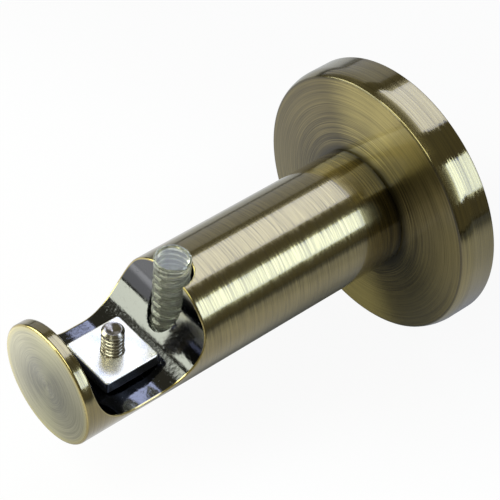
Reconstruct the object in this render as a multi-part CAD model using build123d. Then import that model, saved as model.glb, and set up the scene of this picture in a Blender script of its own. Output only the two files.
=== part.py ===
from build123d import *
import math
import os

# Curtain pole bracket: a turned stem with a pole saddle, seated on a domed wall rose.
# The origin is the centre of the wall plane, +Y points into the wall, +Z is up and the pole lies along X.
# All sizes are in millimetres.

# Stem
STEM_D = 28.0
PROJECTION = 98.5  # wall plane to the stem's end face
END_EDGE_R = 0.5  # rounding of the end face's edge
SEAT_EDGE_R = 0.5  # rounding of the edge on the rose, the dark joint line
EDGE_BREAK = 0.4  # rounding of the saddle's edges

# Pole saddle
LIP_T = 2.8  # end lip left in front of the saddle
SADDLE_W = 28.9  # opening along the stem
SADDLE_DEPTH = 18.7  # top of the stem to the saddle's floor
SADDLE_CORNER_R = 12.5  # between the floor and both walls

# Wall rose
ROSE_D = 64.0
ROSE_SEAT_H = 10.6  # wall plane to the stem's seat
ROSE_DOME_RISE = 1.3  # from the face's edge up to the seat
ROSE_DOME_BULGE = 0.15  # how far the face bows out between edge and seat
ROSE_SHOULDER_L = 3.6  # curved front of the rim, along the axis
ROSE_SHOULDER_DROP = 0.9  # how far the shoulder draws in at the face's edge
ROSE_EDGE_R = 0.3  # crisp edge between shoulder and face
ROSE_WALL = 3.0
ROSE_RECESS_DEPTH = 7.0
ROSE_RECESS_R = 1.0  # inside corner of the recess
ROSE_SEAT_MARGIN = 0.4  # flat seat beyond the stem's edge

# Spigot that centres the stem in the rose
SPIGOT_D = 14.0
SPIGOT_L = 3.0
SPIGOT_CLEARANCE = 0.1

# Wall cup
CUP_GAP = 0.8  # radial gap between the cup and the rose's recess
CUP_T = 1.5
CUP_H = 6.0
CUP_BEND_R = 2.0
CUP_CENTRE_D = 18.0  # clears the stem bolt's head
WALL_SCREW_D = 5.0
WALL_SCREW_PITCH = 36.0

# Stem bolt and washer
BOLT_D = 6.0
BOLT_L = 16.0
BOLT_HEAD_D = 10.5
BOLT_HEAD_H = 3.3
BOLT_HEAD_R = 2.4  # rounding of the button head
BOLT_TIP_CHAMFER = 0.8
BOLT_HEX = 4.0
BOLT_HEX_DEPTH = 2.0
BOLT_CLEARANCE = 0.05  # radial, in the stem's tapped hole
BOLT_HOLE_SPARE = 3.0  # tapped hole past the bolt's end
WASHER_D = 18.0
WASHER_BORE = 6.4
WASHER_T = 1.6

# Nut plate
PLATE_W = 14.0
PLATE_T = 3.0
PLATE_CORNER_R = 0.8
PLATE_EDGE_R = 0.3
PLATE_SEAT_GAP = 0.02

# Clamp grub screw, driven from below
GRUB_D = 5.0
GRUB_L = 16.0
GRUB_STAND = 6.5  # above the plate at rest
GRUB_CHAMFER = 0.6
GRUB_CUP_D = 2.8  # hollow in the end that bites the pole
GRUB_CUP_DEPTH = 0.9
GRUB_HEX = 2.5
GRUB_HEX_DEPTH = 2.5
GRUB_CLEARANCE = 0.05  # radial, in the plate's thread
GRUB_ACCESS_D = 6.0  # clearance hole through the stem's underside

# Pole lock screw
LOCK_D = 8.0
LOCK_L = 25.0
LOCK_STAND = 3.7  # above the top of the stem at rest
LOCK_TOP_CHAMFER = 0.5
LOCK_TIP_CHAMFER = 1.0
LOCK_OVERHANG = 3.1  # how far the screw's side stands out of the saddle's back wall
LOCK_CLEARANCE = 0.05  # radial, in the tapped part of its hole
LOCK_MOUTH_D = 9.2  # wide upper part of its hole
LOCK_MOUTH_DEPTH = 16.0  # below the top of the stem
LOCK_HOLE_DEPTH = 25.0  # below the top of the stem

# Rose lock screw
RIM_SCREW_D = 4.0
RIM_SCREW_L = 3.4
RIM_SCREW_H = 4.0  # above the wall plane
RIM_SCREW_CHAMFER = 0.4
RIM_SCREW_HEX = 2.0
RIM_SCREW_HEX_DEPTH = 1.5
RIM_SCREW_CLEARANCE = 0.05  # radial, in the rim's thread
RIM_SCREW_GAP = 0.05  # to the cup's side

# Places that follow from the sizes above
STEM_R = STEM_D / 2
ROSE_R = ROSE_D / 2
END_Y = -PROJECTION
SEAT_Y = -ROSE_SEAT_H
RECESS_Y = -ROSE_RECESS_DEPTH
SADDLE_FRONT_Y = END_Y + LIP_T
SADDLE_BACK_Y = SADDLE_FRONT_Y + SADDLE_W
SADDLE_Y = (SADDLE_FRONT_Y + SADDLE_BACK_Y) / 2
FLOOR_Z = STEM_R - SADDLE_DEPTH
LOCK_Y = SADDLE_BACK_Y - LOCK_OVERHANG + LOCK_D / 2
RECESS_R = ROSE_R - ROSE_WALL
CUP_R = RECESS_R - CUP_GAP
HEAD_Y = RECESS_Y + WASHER_T
BOLT_END_Y = HEAD_Y - BOLT_L
SPIGOT_Y = SEAT_Y + SPIGOT_L
SADDLE_FLAT = SADDLE_W - 2 * SADDLE_CORNER_R
PLATE_OVERHANG = max(0.0, (PLATE_W - SADDLE_FLAT) / 2)
PLATE_RISE = SADDLE_CORNER_R - math.sqrt(SADDLE_CORNER_R**2 - PLATE_OVERHANG**2)
PLATE_Z = FLOOR_Z + PLATE_RISE + PLATE_SEAT_GAP
PLATE_TOP_Z = PLATE_Z + PLATE_T
GRUB_TOP_Z = PLATE_TOP_Z + GRUB_STAND
GRUB_END_Z = GRUB_TOP_Z - GRUB_L
LOCK_TOP_Z = STEM_R + LOCK_STAND
LOCK_END_Z = LOCK_TOP_Z - LOCK_L
LOCK_MOUTH_Z = STEM_R - LOCK_MOUTH_DEPTH
LOCK_HOLE_Z = STEM_R - LOCK_HOLE_DEPTH
RIM_SCREW_Y = -RIM_SCREW_H
RIM_SCREW_IN_Z = -(CUP_R + RIM_SCREW_GAP)
RIM_SCREW_OUT_Z = RIM_SCREW_IN_Z - RIM_SCREW_L
NEAR = 0.01  # two places closer than this are the same place


def across(y):
    """Plane across the stem at y, facing the wall."""
    return Plane(origin=(0, y, 0), x_dir=(1, 0, 0), z_dir=(0, 1, 0))


def rod_y(radius, y_from, y_to):
    """Round bar on the stem's axis."""
    return extrude(across(y_from) * Circle(radius), y_to - y_from)


def rod_z(radius, y, z_from, z_to):
    """Upright round bar in the stem's middle plane."""
    return Pos(0, y, z_from) * extrude(Circle(radius), z_to - z_from)


def hexagon(across_flats):
    """Outline of a key socket."""
    return RegularPolygon(across_flats / math.sqrt(3), 6)


def round_edges_at(solid, axis, place):
    """Circular edges of a solid whose centre lies at one place along an axis."""
    edges = solid.edges().filter_by(GeomType.CIRCLE)
    return [e for e in edges if abs(e.arc_center.dot(axis.direction) - place) < NEAR]


def round_corner(outline, place, radius):
    """Drawn face with its corner at one place rounded."""
    corner = outline.vertices().sort_by_distance(Vertex(*place))[0]
    return fillet(corner, radius)


def turned(outline):
    """Solid turned about the stem's axis from an outline of (y, radius) points."""
    return revolve(Plane.YZ * outline, Axis.Y, 360)


def saddle_cutter():
    """U-shaped bar along the pole: upright walls, rounded corners, open above the stem."""
    height = 2 * SADDLE_DEPTH
    outline = Pos(SADDLE_Y, FLOOR_Z + height / 2) * Rectangle(SADDLE_W, height)
    outline = fillet(outline.vertices().sort_by(Axis.Y)[:2], SADDLE_CORNER_R)
    side = Plane(origin=(-STEM_D, 0, 0), x_dir=(0, 1, 0), z_dir=(1, 0, 0))
    return extrude(side * outline, 2 * STEM_D)


def on_saddle_rim(edge):
    """Whether an edge lies on the stem's surface, between the saddle's two walls."""
    points = [edge @ share for share in (0.0, 0.5, 1.0)]
    on_stem = all(abs(math.hypot(p.X, p.Z) - STEM_R) < NEAR for p in points)
    return on_stem and SADDLE_FRONT_Y - NEAR < points[1].Y < SADDLE_BACK_Y + NEAR


def make_barrel():
    """Stem with its saddle, its spigot, the bolt's tapped hole and the holes of the two pole screws."""
    bar = rod_y(STEM_R, END_Y, SEAT_Y)
    bar = fillet(round_edges_at(bar, Axis.Y, END_Y), END_EDGE_R)
    bar = fillet(round_edges_at(bar, Axis.Y, SEAT_Y), SEAT_EDGE_R)
    bar -= saddle_cutter()
    bar = fillet([e for e in bar.edges() if on_saddle_rim(e)], EDGE_BREAK)
    bar += rod_y(SPIGOT_D / 2, SEAT_Y, SPIGOT_Y)
    bar -= rod_y(BOLT_D / 2 + BOLT_CLEARANCE, BOLT_END_Y - BOLT_HOLE_SPARE, SPIGOT_Y)
    bar -= rod_z(GRUB_ACCESS_D / 2, SADDLE_Y, -STEM_D, PLATE_Z)
    bar -= rod_z(LOCK_MOUTH_D / 2, LOCK_Y, LOCK_MOUTH_Z, LOCK_TOP_Z)
    bar -= rod_z(LOCK_D / 2 + LOCK_CLEARANCE, LOCK_Y, LOCK_HOLE_Z, LOCK_TOP_Z)
    return bar


def make_rose():
    """Domed rose: straight rim, curved shoulder, flat seat for the stem and a deep recess behind."""
    hole_r = SPIGOT_D / 2 + SPIGOT_CLEARANCE
    edge_y = SEAT_Y + ROSE_DOME_RISE
    edge_r = ROSE_R - ROSE_SHOULDER_DROP
    rim_y = edge_y + ROSE_SHOULDER_L
    seat_r = STEM_R + ROSE_SEAT_MARGIN
    face_middle = ((edge_y + SEAT_Y) / 2 - ROSE_DOME_BULGE, (edge_r + seat_r) / 2)
    seat_and_hole = Polyline((SEAT_Y, seat_r), (SEAT_Y, hole_r), (RECESS_Y, hole_r))
    recess = Polyline((RECESS_Y, hole_r), (RECESS_Y, RECESS_R), (0, RECESS_R))
    rim = Polyline((0, RECESS_R), (0, ROSE_R), (rim_y, ROSE_R))
    shoulder = TangentArc((rim_y, ROSE_R), (edge_y, edge_r), tangent=(-1, 0))
    dome = ThreePointArc((edge_y, edge_r), face_middle, (SEAT_Y, seat_r))
    outline = make_face(seat_and_hole + recess + rim + shoulder + dome)
    outline = round_corner(outline, (edge_y, edge_r), ROSE_EDGE_R)
    outline = round_corner(outline, (RECESS_Y, RECESS_R), ROSE_RECESS_R)
    rose = turned(outline)
    return rose - rod_z(RIM_SCREW_D / 2 + RIM_SCREW_CLEARANCE, RIM_SCREW_Y, -ROSE_D, -CUP_R)


def make_wall_cup():
    """Pressed steel cup: flat base on the wall, turned-up side, two wall screw holes."""
    centre_r = CUP_CENTRE_D / 2
    side_r = CUP_R - CUP_T
    outside = [(0, centre_r), (0, CUP_R), (-CUP_H, CUP_R)]
    inside = [(-CUP_H, side_r), (-CUP_T, side_r), (-CUP_T, centre_r)]
    outline = make_face(Polyline(*outside, *inside, close=True))
    outline = round_corner(outline, (0, CUP_R), CUP_BEND_R)
    outline = round_corner(outline, (-CUP_T, side_r), CUP_BEND_R - CUP_T)
    cup = turned(outline)
    for x in (-WALL_SCREW_PITCH / 2, WALL_SCREW_PITCH / 2):
        cup -= Pos(x, 0, 0) * rod_y(WALL_SCREW_D / 2, -CUP_H, 0)
    return cup


def make_stem_bolt():
    """Button-head screw that draws the stem onto the rose from behind."""
    shank = rod_y(BOLT_D / 2, BOLT_END_Y, HEAD_Y)
    shank = chamfer(round_edges_at(shank, Axis.Y, BOLT_END_Y), BOLT_TIP_CHAMFER)
    head_top = HEAD_Y + BOLT_HEAD_H
    head = rod_y(BOLT_HEAD_D / 2, HEAD_Y, head_top)
    head = fillet(round_edges_at(head, Axis.Y, head_top), BOLT_HEAD_R)
    return shank + head - extrude(across(head_top - BOLT_HEX_DEPTH) * hexagon(BOLT_HEX), BOLT_HEX_DEPTH)


def make_stem_washer():
    """Large washer between the bolt's head and the rose."""
    return rod_y(WASHER_D / 2, RECESS_Y, HEAD_Y) - rod_y(WASHER_BORE / 2, RECESS_Y, HEAD_Y)


def make_nut_plate():
    """Square plate that rests across the saddle's corners and carries the clamp screw's thread."""
    plate = Pos(0, SADDLE_Y, PLATE_Z) * extrude(RectangleRounded(PLATE_W, PLATE_W, PLATE_CORNER_R), PLATE_T)
    plate = fillet(plate.faces().sort_by(Axis.Z)[-1].edges(), PLATE_EDGE_R)
    return plate - rod_z(GRUB_D / 2 + GRUB_CLEARANCE, SADDLE_Y, PLATE_Z, PLATE_TOP_Z)


def make_clamp_grub_screw():
    """Set screw with a cup point that stands up through the plate and a key socket below."""
    screw = rod_z(GRUB_D / 2, SADDLE_Y, GRUB_END_Z, GRUB_TOP_Z)
    ends = round_edges_at(screw, Axis.Z, GRUB_END_Z) + round_edges_at(screw, Axis.Z, GRUB_TOP_Z)
    screw = chamfer(ends, GRUB_CHAMFER)
    cup_middle = Pos(0, SADDLE_Y, GRUB_TOP_Z - GRUB_CUP_DEPTH / 2)
    screw -= cup_middle * Cone(0, GRUB_CUP_D / 2, GRUB_CUP_DEPTH)
    return screw - Pos(0, SADDLE_Y, GRUB_END_Z) * extrude(hexagon(GRUB_HEX), GRUB_HEX_DEPTH)


def make_pole_lock_screw():
    """Clear plastic screw whose side stands out of the saddle's back wall and bears on the pole."""
    screw = rod_z(LOCK_D / 2, LOCK_Y, LOCK_END_Z, LOCK_TOP_Z)
    screw = chamfer(round_edges_at(screw, Axis.Z, LOCK_TOP_Z), LOCK_TOP_CHAMFER)
    return chamfer(round_edges_at(screw, Axis.Z, LOCK_END_Z), LOCK_TIP_CHAMFER)


def make_rose_lock_screw():
    """Short set screw through the underside of the rose's rim, tight on the cup."""
    screw = rod_z(RIM_SCREW_D / 2, RIM_SCREW_Y, RIM_SCREW_OUT_Z, RIM_SCREW_IN_Z)
    screw = chamfer(round_edges_at(screw, Axis.Z, RIM_SCREW_IN_Z), RIM_SCREW_CHAMFER)
    socket = Pos(0, RIM_SCREW_Y, RIM_SCREW_OUT_Z) * extrude(hexagon(RIM_SCREW_HEX), RIM_SCREW_HEX_DEPTH)
    return screw - socket


PIECES = {
    "barrel": make_barrel,
    "wall_rose": make_rose,
    "wall_cup": make_wall_cup,
    "stem_bolt": make_stem_bolt,
    "stem_washer": make_stem_washer,
    "nut_plate": make_nut_plate,
    "clamp_grub_screw": make_clamp_grub_screw,
    "pole_lock_screw": make_pole_lock_screw,
    "rose_lock_screw": make_rose_lock_screw,
}

os.makedirs("parts", exist_ok=True)
for node, make in PIECES.items():
    export_step(make(), f"parts/{node}.step")
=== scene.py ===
import logging
import math
from collections.abc import Callable, Sequence
from dataclasses import dataclass
from enum import Enum
from typing import Any

import bpy
import numpy as np
from bpy.types import Material, Node, NodeSocket, NodeTree, Object, World
from mathutils import Matrix, Vector


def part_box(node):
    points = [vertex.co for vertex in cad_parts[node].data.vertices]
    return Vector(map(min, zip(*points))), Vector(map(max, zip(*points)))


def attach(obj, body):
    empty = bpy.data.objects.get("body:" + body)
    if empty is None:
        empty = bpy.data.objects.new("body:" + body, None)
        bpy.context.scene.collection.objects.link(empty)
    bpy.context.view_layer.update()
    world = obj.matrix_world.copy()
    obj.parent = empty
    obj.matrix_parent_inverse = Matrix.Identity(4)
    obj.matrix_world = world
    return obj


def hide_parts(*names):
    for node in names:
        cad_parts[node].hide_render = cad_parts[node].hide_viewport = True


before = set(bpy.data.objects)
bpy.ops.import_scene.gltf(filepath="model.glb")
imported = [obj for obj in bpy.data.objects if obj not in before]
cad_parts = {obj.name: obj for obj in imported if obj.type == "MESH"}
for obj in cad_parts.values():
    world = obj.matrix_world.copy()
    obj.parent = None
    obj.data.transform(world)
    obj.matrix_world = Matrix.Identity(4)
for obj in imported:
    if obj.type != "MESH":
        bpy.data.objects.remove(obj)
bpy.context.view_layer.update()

# Curtain pole bracket: a turned antique brass stem with a pole saddle, on a domed wall rose.
# Sizes of pieces and of their finishes are millimetres in the part's own frame. The studio is in metres.

MM = 0.001
WHITE = "#FFFFFF"
LOG = logging.getLogger("bracket")

# Node types that the finishes use most
MATH = "ShaderNodeMath"
VECTOR = "ShaderNodeVectorMath"
RANGE = "ShaderNodeMapRange"
MIX = "ShaderNodeMix"
NOISE = "ShaderNodeTexNoise"

Shape = Callable[[np.ndarray], np.ndarray]
Source = Node | NodeSocket
Span = tuple[float, float]
Place = tuple[float, float, float]
# How far before its first and past its last edge a run of grid planes reaches, and its cell
Run = tuple[float, float, float]
# First and last value that comes in, and what goes out for each
Ramp = tuple[float, float, float, float]


def box_mm(node: str) -> list[list[float]]:
    """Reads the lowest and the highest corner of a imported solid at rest, in millimetres."""
    return np.round(np.array(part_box(node)) / MM, 3).tolist()


# Driving sizes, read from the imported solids
STEM_LOW, STEM_HIGH = box_mm("barrel")
ROSE_LOW, ROSE_HIGH = box_mm("wall_rose")
PLATE_LOW, PLATE_HIGH = box_mm("nut_plate")
CLAMP_LOW, CLAMP_HIGH = box_mm("clamp_grub_screw")
LOCK_LOW, LOCK_HIGH = box_mm("pole_lock_screw")
STEM_R = STEM_HIGH[0]
ROSE_R = ROSE_HIGH[0]
END_Y = STEM_LOW[1]
SEAT_Y = ROSE_LOW[1]
SADDLE_Y = (PLATE_LOW[1] + PLATE_HIGH[1]) / 2
LOCK_Y = (LOCK_LOW[1] + LOCK_HIGH[1]) / 2

# Grid cells left free round a netted surface, and how often its net is pulled onto it
FREE_CELLS = 2.5
PULLS = 6


class Body(Enum):
    """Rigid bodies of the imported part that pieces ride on."""

    BRACKET = "bracket"
    CLAMP_SCREW = "clamp_screw"
    LOCK_SCREW = "lock_screw"


class Slot(Enum):
    """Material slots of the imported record."""

    BRASS = "antique_brass"
    ZINC = "zinc_plated_steel"
    STEEL = "plain_steel"
    PLASTIC = "clear_plastic"


# Small tools


def linear(hex_colour: str) -> tuple[float, float, float, float]:
    """Turns an sRGB hex colour into linear light.

    Args:
        hex_colour: Six hex digits, with or without a leading hash.

    Returns:
        Linear red, green and blue, and an alpha of 1.
    """
    digits = hex_colour.lstrip("#")
    channels = [int(digits[i : i + 2], 16) / 255 for i in (0, 2, 4)]
    red, green, blue = (c / 12.92 if c <= 0.04045 else ((c + 0.055) / 1.055) ** 2.4 for c in channels)
    return red, green, blue, 1.0


def empty_tree(owner: Material | World) -> NodeTree:
    """Gives a material or a world an empty node tree.

    Args:
        owner: Material or world.

    Returns:
        Its tree.
    """
    owner.use_nodes = True
    owner.node_tree.nodes.clear()
    return owner.node_tree


def add(
    tree: NodeTree,
    kind: str,
    inputs: dict[int | str, Any] | Sequence[Any] = (),
    **settings: Any,
) -> Node:
    """Adds one node with its settings and links.

    Args:
        tree: Node tree that gets the node.
        kind: Blender's name of the node type.
        inputs: What goes into the first inputs in order, or into inputs by name or number: a value, an
            output to link, or a node to link by its first output in use.
        **settings: Attributes of the node.

    Returns:
        The new node.
    """
    node = tree.nodes.new(kind)
    for name, value in settings.items():
        setattr(node, name, value)
    for name, value in inputs.items() if isinstance(inputs, dict) else enumerate(inputs):
        if isinstance(value, Node):
            value = next(output for output in value.outputs if output.enabled)
        if isinstance(value, NodeSocket):
            tree.links.new(value, node.inputs[name])
        else:
            node.inputs[name].default_value = value
    return node


def meet(a: np.ndarray, b: np.ndarray, radius: float) -> np.ndarray:
    """Intersects two signed distances with a rounded convex edge.

    Args:
        a: Signed distances to the first surface, negative inside.
        b: Signed distances to the second surface.
        radius: Edge radius.

    Returns:
        Signed distances to the common volume.
    """
    outside = np.hypot(np.maximum(a + radius, 0), np.maximum(b + radius, 0))
    return outside + np.minimum(np.maximum(a, b), -radius)


def run(first: float, last: float, before: float, past: float, cell: float) -> np.ndarray:
    """Sets grid planes a cell apart.

    Args:
        first: Edge that the planes start near.
        last: Edge that they end near.
        before: How far before the first edge they start.
        past: How far past the last edge they end.
        cell: Distance between planes.

    Returns:
        Place of each plane.
    """
    return np.arange(first - before, last + past, cell)


def centred(reach: float, cell: float) -> np.ndarray:
    """Sets grid planes evenly to both sides of a middle plane.

    Args:
        reach: How far the piece reaches to each side.
        cell: Distance between planes, rounded so that they come out even.

    Returns:
        Place of each plane.
    """
    half = reach + FREE_CELLS * cell
    return np.linspace(-half, half, 2 * round(half / cell) + 1)


def round_grid(places: np.ndarray) -> np.ndarray:
    """Turns rows of angle, radius and place along the axis into points."""
    angle, radius, y = places.T
    return np.stack([radius * np.cos(angle), y, radius * np.sin(angle)], axis=1)


def slope(shape: Shape, points: np.ndarray, step: float = 0.004) -> np.ndarray:
    """Measures how a signed distance grows along each axis.

    Args:
        shape: Signed distance of points.
        points: Points, one a row.
        step: Half the distance between the two samples.

    Returns:
        One gradient a row.
    """
    grown = []
    for axis in range(3):
        offset = np.zeros(3)
        offset[axis] = step
        grown.append((shape(points + offset) - shape(points - offset)) / (2 * step))
    return np.stack(grown, axis=1)


def skin(
    shape: Shape, xs: np.ndarray, ys: np.ndarray, zs: np.ndarray, bend: Shape | None = None
) -> tuple[np.ndarray, np.ndarray, np.ndarray]:
    """Nets the surface of a signed distance on a grid and pulls the net onto the exact surface.

    Args:
        shape: Signed distance of points, negative inside.
        xs: Grid planes along X, or the angles of a round grid with the first one again at the end.
        ys: Grid planes along Y, or radii.
        zs: Grid planes along Z, or places along the axis.
        bend: Turns the coordinates of a round grid, which closes on itself, into points.

    Returns:
        Points, four point numbers for each face, and the true surface normal at each point.
    """
    nodes = np.stack(np.meshgrid(xs, ys, zs, indexing="ij"), axis=-1)
    size = nodes.shape[:3]
    flat = nodes.reshape(-1, 3)
    values = shape(flat if bend is None else bend(flat)).reshape(size)
    if bend is not None:
        values[-1] = values[0]
    inside = values < 0

    # A cell that the surface passes through has corners on both sides of it.
    corners = [(i, j, k) for i in (0, 1) for j in (0, 1) for k in (0, 1)]
    count = sum(
        inside[i : size[0] - 1 + i, j : size[1] - 1 + j, k : size[2] - 1 + k].astype(int)
        for i, j, k in corners
    )
    cells = np.argwhere((count > 0) & (count < len(corners)))

    # Its point is the mean of the places where its edges cross the surface.
    total = np.zeros((len(cells), 3))
    crossings = np.zeros(len(cells))
    for first in corners:
        for axis in range(3):
            if first[axis]:
                continue
            second = tuple(c + (n == axis) for n, c in enumerate(first))
            at, to = cells + first, cells + second
            value_at, value_to = values[tuple(at.T)], values[tuple(to.T)]
            cut = (value_at < 0) != (value_to < 0)
            share = np.where(cut, value_at / np.where(cut, value_at - value_to, 1), 0)[:, None]
            place = nodes[tuple(at.T)] * (1 - share) + nodes[tuple(to.T)] * share
            total += np.where(cut[:, None], place, 0)
            crossings += cut
    points = total / crossings[:, None]
    if bend is not None:
        points = bend(points)

    # Each grid edge that crosses the surface gets a face of the four cells round it.
    number = np.full(tuple(n - 1 for n in size), -1)
    number[tuple(cells.T)] = np.arange(len(cells))
    faces = []
    for axis in range(3):
        side, up = (axis + 1) % 3, (axis + 2) % 3
        low = np.take(inside, range(size[axis] - 1), axis)
        high = np.take(inside, range(1, size[axis]), axis)
        edges = np.argwhere(low != high)
        for beside in (side, up):
            first = 0 if beside == 0 and bend is not None else 1
            edges = edges[(edges[:, beside] >= first) & (edges[:, beside] < size[beside] - 1)]
        ring = []
        for back_side, back_up in ((1, 1), (0, 1), (0, 0), (1, 0)):
            cell = edges.copy()
            cell[:, side] -= back_side
            cell[:, up] -= back_up
            ring.append(number[tuple(cell.T)])
        quads = np.stack(ring, axis=1)
        flip = ~low[tuple(edges.T)]
        quads[flip] = quads[flip][:, ::-1]
        faces.append(quads)

    # A slope near zero, as on a crease, must not throw a point far off.
    least_slope = 0.1
    for _ in range(PULLS):
        grown = slope(shape, points)
        points = points - grown * (shape(points) / np.maximum((grown**2).sum(axis=1), least_slope))[:, None]
    normals = slope(shape, points)
    return points, np.concatenate(faces), normals / np.linalg.norm(normals, axis=1)[:, None]


def to_object(
    name: str, points: np.ndarray, faces: Any, normals: np.ndarray | None = None
) -> Object:
    """Makes a smooth mesh object at the origin.

    Args:
        name: Piece name.
        points: Points in millimetres.
        faces: Point numbers of each face.
        normals: True surface normals at the points, if the mesh has its own.

    Returns:
        The new object.
    """
    mesh = bpy.data.meshes.new(name)
    mesh.from_pydata((points * MM).tolist(), [], [list(map(int, face)) for face in faces])
    mesh.validate()
    mesh.shade_smooth()
    if normals is not None:
        mesh.normals_split_custom_set_from_vertices(normals.tolist())
    piece = bpy.data.objects.new(name, mesh)
    bpy.context.scene.collection.objects.link(piece)
    return piece


def settle(piece: Object, body: Body, slot: Slot, *nodes: str) -> None:
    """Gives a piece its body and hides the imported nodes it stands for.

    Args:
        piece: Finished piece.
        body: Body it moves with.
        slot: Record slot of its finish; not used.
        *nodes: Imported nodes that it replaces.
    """
    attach(piece, body.value)
    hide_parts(*nodes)
    LOG.info("%s: %d faces, on %s", piece.name, len(piece.data.polygons), body.value)


# Finishes


@dataclass
class Turning:
    """A turned surface in a node tree: its place, distance from the axis and along it, and brush grain.

    Both distances are millimetres.
    """

    tree: NodeTree
    coords: Source
    rho: Source
    y: Source
    grain: Source


@dataclass
class Look:
    """What a finish gives its shader: colour, roughness, and height in millimetres."""

    colour: Source
    rough: Source
    height: Source


@dataclass(frozen=True)
class AntiqueBrass:
    """Turned brass, chemically blackened, brushed back along the turning lines and lacquered.

    The eye sees dark olive metal with fine bright strokes and a few dark scratches round the axis, long
    highlights that stay sharp across the strokes, and a clear gloss at grazing angles. Shade in the corner
    between stem and rose is painted into the colour, broken up by the strokes. Real brushing is too fine for
    the render, so its marks are drawn wider.
    """

    name: str
    gloss: Ramp
    anisotropy: float
    dark: str = "#776C49"
    bright: str = "#998C5D"
    # Dark of the scratches, and of the painted shade in the corner between stem and rose and along the
    # rose's edge
    patina_and_painted_shade: str = "#2B271A"
    # Width of the marks, and how often they change along the way round
    strokes: Span = (0.24, 0.9)
    streaks: Span = (1.0, 0.54)
    scratches: Span = (0.24, 1.5)
    streak_share: float = 0.15
    # What the height of the marks gives: brightness, patina in scratches, real height, and sideways lean
    worn: Ramp = (0.35, 0.65, 0.0, 1.0)
    scratched: Ramp = (0.53, 0.68, 0.0, 0.32)
    raised: Ramp = (0.0, 1.0, -0.0025, 0.0025)
    leaning: Ramp = (0.35, 0.65, -0.022, 0.022)
    # Strokes lean beyond this distance from the axis, by default everywhere
    leaning_from: float = -1.0
    # Painted shade by the distance from the corner between stem and rose, and how much of it the strokes
    # leave
    crease: Ramp = (0.4, 3.0, 0.85, 0.0)
    shade: Ramp = (0.0, 13.0, 0.5, 0.0)
    left: Ramp = (0.4, 0.6, 1.7, 0.1)

    def make(self) -> Material:
        """Builds the material.

        Returns:
            The material.
        """
        material = bpy.data.materials.new(self.name)
        tree = empty_tree(material)
        coords = add(tree, "ShaderNodeTexCoord").outputs["Object"]
        flat = add(tree, VECTOR, [coords, (1 / MM, 0, 1 / MM)], operation="MULTIPLY")
        rho = add(tree, VECTOR, [flat], operation="LENGTH")
        outward = add(tree, VECTOR, [flat], operation="NORMALIZE")
        along = add(tree, "ShaderNodeSeparateXYZ", [coords]).outputs["Y"]
        y = add(tree, MATH, [along, 1 / MM], operation="MULTIPLY")
        across = add(tree, MATH, [rho, y], operation="SUBTRACT")
        strokes = self._marks(tree, across, outward, *self.strokes)
        streaks = self._marks(tree, across, outward, *self.streaks)
        scratches = self._marks(tree, across, outward, *self.scratches)
        grain = add(tree, MIX, {0: self.streak_share, 2: strokes, 3: streaks})
        worn = add(tree, RANGE, [grain, *self.worn])
        brushed = add(tree, MIX, {0: worn, 6: linear(self.dark), 7: linear(self.bright)}, data_type="RGBA")
        scratched = add(tree, RANGE, [scratches, *self.scratched])
        colour = add(tree, MIX, {0: scratched, 6: brushed, 7: linear(self.patina_and_painted_shade)}, data_type="RGBA")
        rough = add(tree, RANGE, [grain, *self.gloss])
        height = add(tree, RANGE, [strokes, *self.raised])
        at = Turning(tree, coords, rho, y, grain)
        look = self._work(at, Look(self._corner_painted_shade(at, colour), rough, height))

        bump = add(tree, "ShaderNodeBump", {"Strength": 1.0, "Distance": MM, "Height": look.height})
        normal = add(tree, "ShaderNodeNewGeometry").outputs["Normal"]
        around = add(tree, VECTOR, [(0, 1, 0), outward], operation="CROSS_PRODUCT")
        tangent = add(tree, VECTOR, [normal, around], operation="CROSS_PRODUCT")
        leaning = add(tree, RANGE, [grain, *self.leaning])
        beyond = add(tree, MATH, [rho, self.leaning_from], operation="GREATER_THAN")
        share = add(tree, MATH, [leaning, beyond], operation="MULTIPLY")
        push = add(tree, VECTOR, {0: around, "Scale": share}, operation="SCALE")
        leant = add(tree, VECTOR, [bump, push], operation="ADD")
        facing = add(tree, VECTOR, [leant], operation="NORMALIZE")
        shader = add(
            tree,
            "ShaderNodeBsdfPrincipled",
            {
                "Base Color": look.colour,
                "Metallic": 1.0,
                "Roughness": look.rough,
                "Anisotropic": self.anisotropy,
                "Tangent": tangent,
                "Normal": facing,
                "Coat Weight": 0.9,
                "Coat Roughness": 0.06,
                "Coat IOR": 1.5,
            },
        )
        add(tree, "ShaderNodeOutputMaterial", {"Surface": shader})
        return material

    def _marks(
        self, tree: NodeTree, across: Source, outward: Source, width: float, turns: float
    ) -> Source:
        """Draws marks that run round the axis.

        Args:
            tree: Material's tree.
            across: Distance across the marks, in millimetres.
            outward: Direction from the axis.
            width: Width of a mark, in millimetres.
            turns: How often the marks change along the way round.

        Returns:
            Height of the marks from 0 to 1.
        """
        counted = add(tree, MATH, [across, 1 / width], operation="MULTIPLY")
        split = add(tree, "ShaderNodeSeparateXYZ", [outward]).outputs
        way = [add(tree, MATH, [split[axis], turns], operation="MULTIPLY") for axis in "XZ"]
        place = add(tree, "ShaderNodeCombineXYZ", [counted, *way])
        return add(tree, NOISE, {"Vector": place, "Scale": 1.0, "Detail": 3.0, "Roughness": 0.6})

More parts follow.
